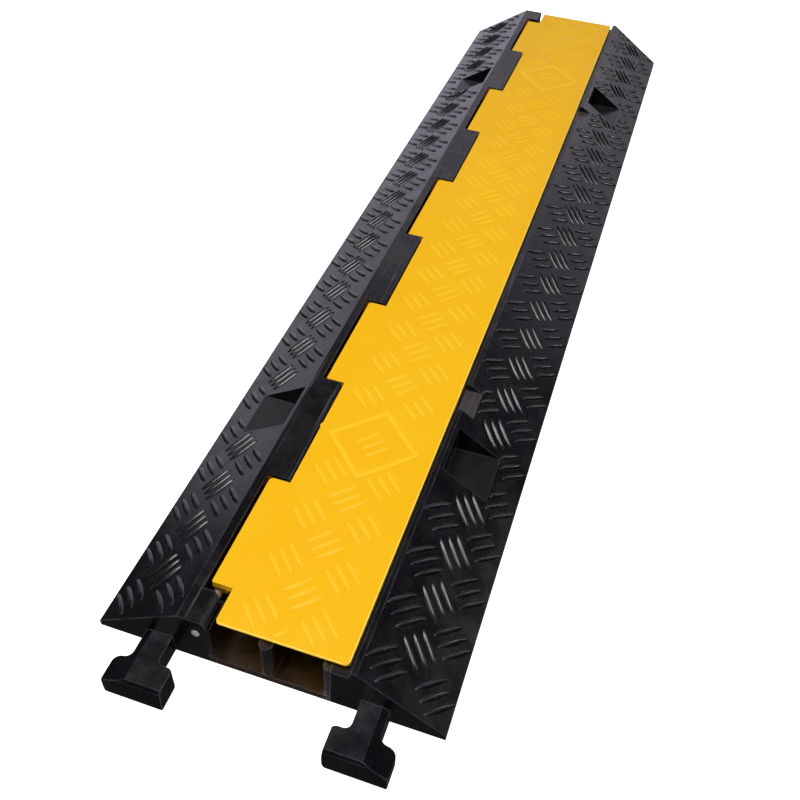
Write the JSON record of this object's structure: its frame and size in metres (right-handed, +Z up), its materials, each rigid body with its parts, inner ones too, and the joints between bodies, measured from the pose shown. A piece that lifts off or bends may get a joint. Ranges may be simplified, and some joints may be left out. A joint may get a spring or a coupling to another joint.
{
  "type": "floor cord cover",
  "caption": "Low black rubber ramp that carries cables across a floor in lengthwise channels under a hinged yellow lid, with T-shaped connectors to join further units.",
  "frame": {"origin": "on the ground under the middle of the whole length, connectors included, and of the width", "axes": "+Y along the length from the connector end to the socket end, +Z up, +X from the hinged edge of the lid to its free edge"},
  "size_m": [0.245, 1.0414, 0.045],
  "materials": {
    "black_rubber": "moulded, slightly glossy black",
    "yellow_plastic": "satin signal yellow",
    "steel": "plain drawn rod"
  },
  "bodies": {
    "base": {"ramp_base": "black_rubber", "hinge_rod": "steel"},
    "lid": {"channel_lid": "yellow_plastic"}
  },
  "joints": [
    {"name": "lid_hinge", "type": "hinge", "parent": "base", "child": "lid", "pos_m": [-0.0475, 0, 0.0315], "axis": [0, -1, 0], "range_deg": [0, 45]}
  ]
}
